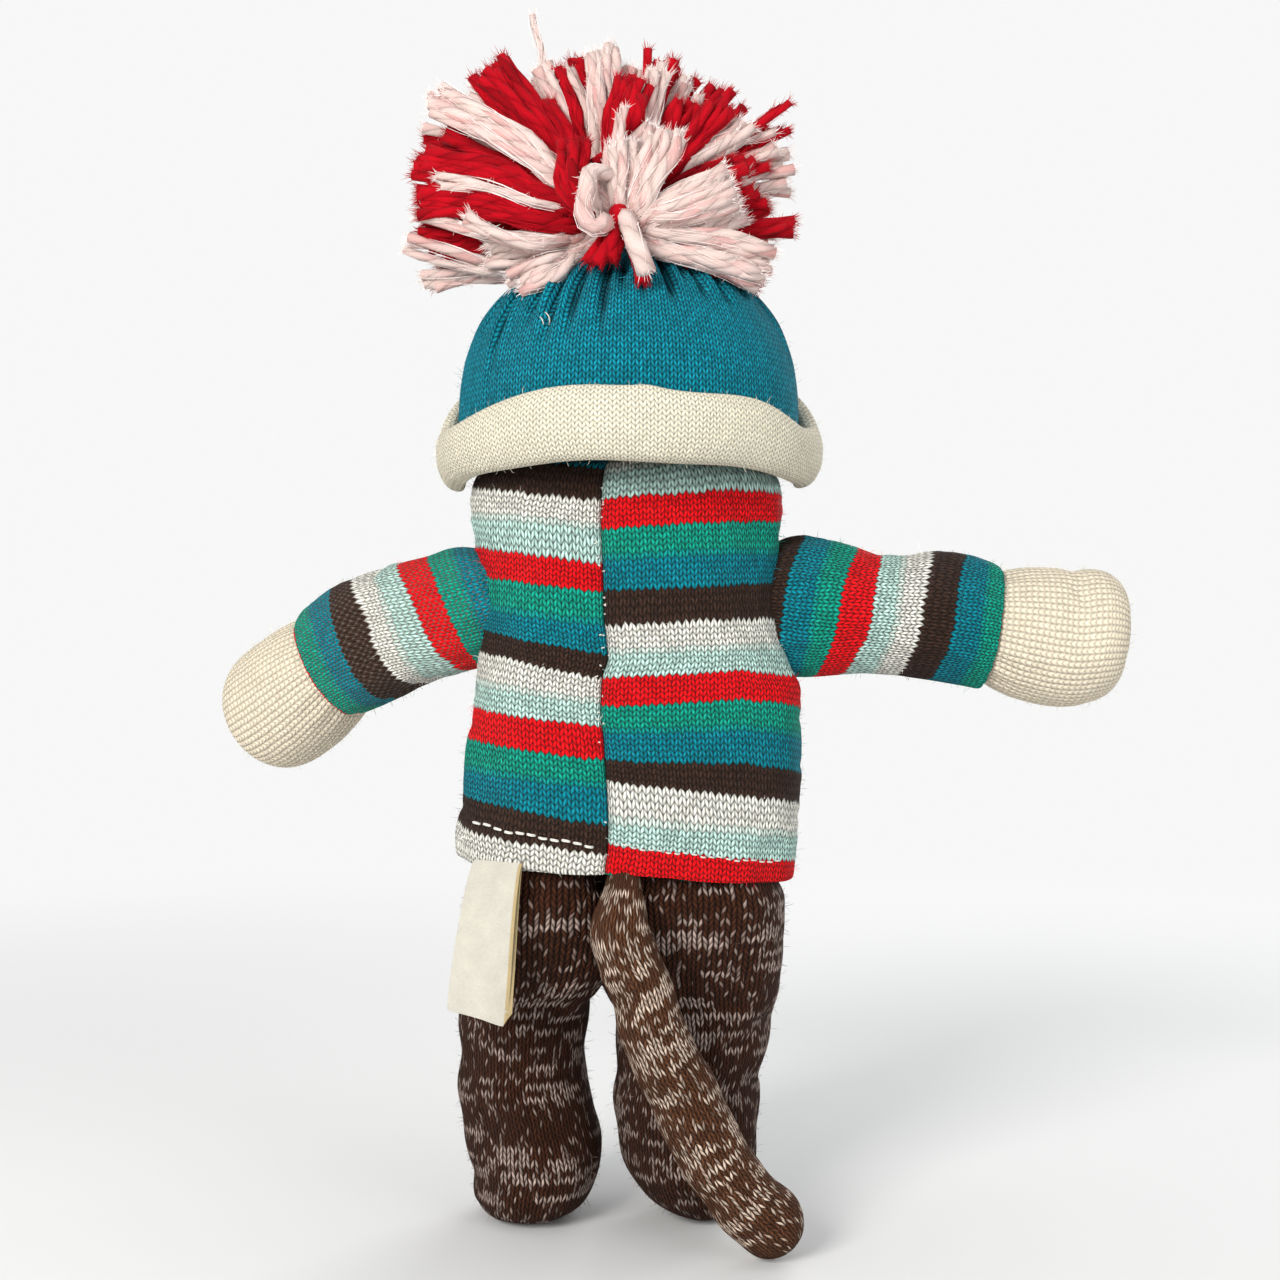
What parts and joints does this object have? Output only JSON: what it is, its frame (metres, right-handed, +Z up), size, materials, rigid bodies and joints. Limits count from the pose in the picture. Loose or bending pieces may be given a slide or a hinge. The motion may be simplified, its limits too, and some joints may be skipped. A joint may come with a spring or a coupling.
{
  "type": "sock monkey doll",
  "caption": "Stuffed sock monkey doll in a striped knitted sweater and a cuffed hat with a yarn pom-pom; head, arms, legs and tail move.",
  "frame": {"origin": "middle of the bounding box in plan, at the soles", "axes": "+Z up, the doll faces -Y, and its own left side is at +X"},
  "size_m": [0.2364, 0.0984, 0.2935],
  "materials": {
    "brown_marl": "dark brown marl stocking knit",
    "tail_marl": "lighter brown marl stocking knit",
    "striped_knit": "stocking knit in stripes of brown, white, aqua, red, green and teal",
    "blue_knit": "blue and teal flecked stocking knit",
    "cream_knit": "cream ribbed knit",
    "red_yarn": "loose plied yarn, red and off-white",
    "thread": "dark sewing thread",
    "filling": "white fibre filling",
    "button": "black button",
    "ribbon": "plain cream woven ribbon"
  },
  "bodies": {
    "torso": {"body_sock": "brown_marl", "body_stuffing": "filling", "sweater_front": "striped_knit", "sweater_back_left": "striped_knit", "sweater_back_right": "striped_knit", "sweater_collar": "striped_knit"},
    "tag": {"label": "ribbon"},
    "neck": {"neck_stuffing": "filling"},
    "head": {"head_skin": "brown_marl", "head_stuffing": "filling", "muzzle": "cream_knit", "mouth": "red_yarn", "eye_left": "button", "eye_right": "button", "ear_left": "brown_marl", "ear_right": "brown_marl", "hat_crown": "blue_knit", "hat_cuff": "cream_knit"},
    "tie": {"pompom_tie": "thread"},
    "tuft": {"pompom": "red_yarn"},
    "arm_root_left": {"arm_root_stuffing_left": "filling"},
    "arm_root_right": {"arm_root_stuffing_right": "filling"},
    "arm_left": {"sleeve_left": "striped_knit", "arm_stuffing_left": "filling", "hand_left": "cream_knit"},
    "arm_right": {"sleeve_right": "striped_knit", "arm_stuffing_right": "filling", "hand_right": "cream_knit"},
    "leg_left": {"leg_sock_left": "brown_marl", "leg_stuffing_left": "filling"},
    "leg_right": {"leg_sock_right": "brown_marl", "leg_stuffing_right": "filling"},
    "tail_root": {"tail_gather": "thread"},
    "tail": {"tail_sock": "tail_marl", "tail_stuffing": "filling"}
  },
  "joints": [
    {"name": "neck_turn", "type": "hinge", "parent": "torso", "child": "neck", "pos_m": [0.00683, 0.00355, 0.189], "axis": [0, 0, 1], "range_deg": [-40, 40]},
    {"name": "head_nod", "type": "hinge", "parent": "neck", "child": "head", "pos_m": [0.00683, 0.00355, 0.189], "axis": [1, 0, 0], "range_deg": [-10, 12]},
    {"name": "pompom_nod", "type": "hinge", "parent": "head", "child": "tie", "pos_m": [0.00683, 0.00355, 0.24868], "axis": [1, 0, 0], "range_deg": [-12, 12], "stiffness_Nm_per_rad": 0.06},
    {"name": "pompom_sway", "type": "hinge", "parent": "tie", "child": "tuft", "pos_m": [0.00683, 0.00355, 0.24868], "axis": [0, 1, 0], "range_deg": [-12, 12], "stiffness_Nm_per_rad": 0.06},
    {"name": "arm_left_swing", "type": "hinge", "parent": "torso", "child": "arm_root_left", "pos_m": [0.05243, 0.00355, 0.155], "axis": [0, 0, 1], "range_deg": [-6, 50]},
    {"name": "arm_left_raise", "type": "hinge", "parent": "arm_root_left", "child": "arm_left", "pos_m": [0.05243, 0.00355, 0.155], "axis": [0.5878, 0.809, 0], "range_deg": [-48, 4]},
    {"name": "arm_right_swing", "type": "hinge", "parent": "torso", "child": "arm_root_right", "pos_m": [-0.03877, 0.00355, 0.155], "axis": [0, 0, 1], "range_deg": [-35, 38]},
    {"name": "arm_right_raise", "type": "hinge", "parent": "arm_root_right", "child": "arm_right", "pos_m": [-0.03877, 0.00355, 0.155], "axis": [0, -1, 0], "range_deg": [-34, 24]},
    {"name": "hip_left", "type": "hinge", "parent": "torso", "child": "leg_left", "pos_m": [0.03303, -0.00345, 0.062], "axis": [-1, 0, 0], "range_deg": [0, 90]},
    {"name": "hip_right", "type": "hinge", "parent": "torso", "child": "leg_right", "pos_m": [-0.01007, -0.00745, 0.062], "axis": [-1, 0, 0], "range_deg": [0, 90]},
    {"name": "tail_swing", "type": "hinge", "parent": "torso", "child": "tail_root", "pos_m": [0.00823, 0.03535, 0.0838], "axis": [0, 1, 0], "range_deg": [-35, 35]},
    {"name": "tail_lift", "type": "hinge", "parent": "tail_root", "child": "tail", "pos_m": [0.00823, 0.03535, 0.0838], "axis": [1, 0, 0], "range_deg": [0, 100]},
    {"name": "label_flip", "type": "hinge", "parent": "torso", "child": "tag", "pos_m": [0.04163, 0.02551, 0.0914], "axis": [0.9397, -0.342, 0], "range_deg": [0, 80]}
  ]
}
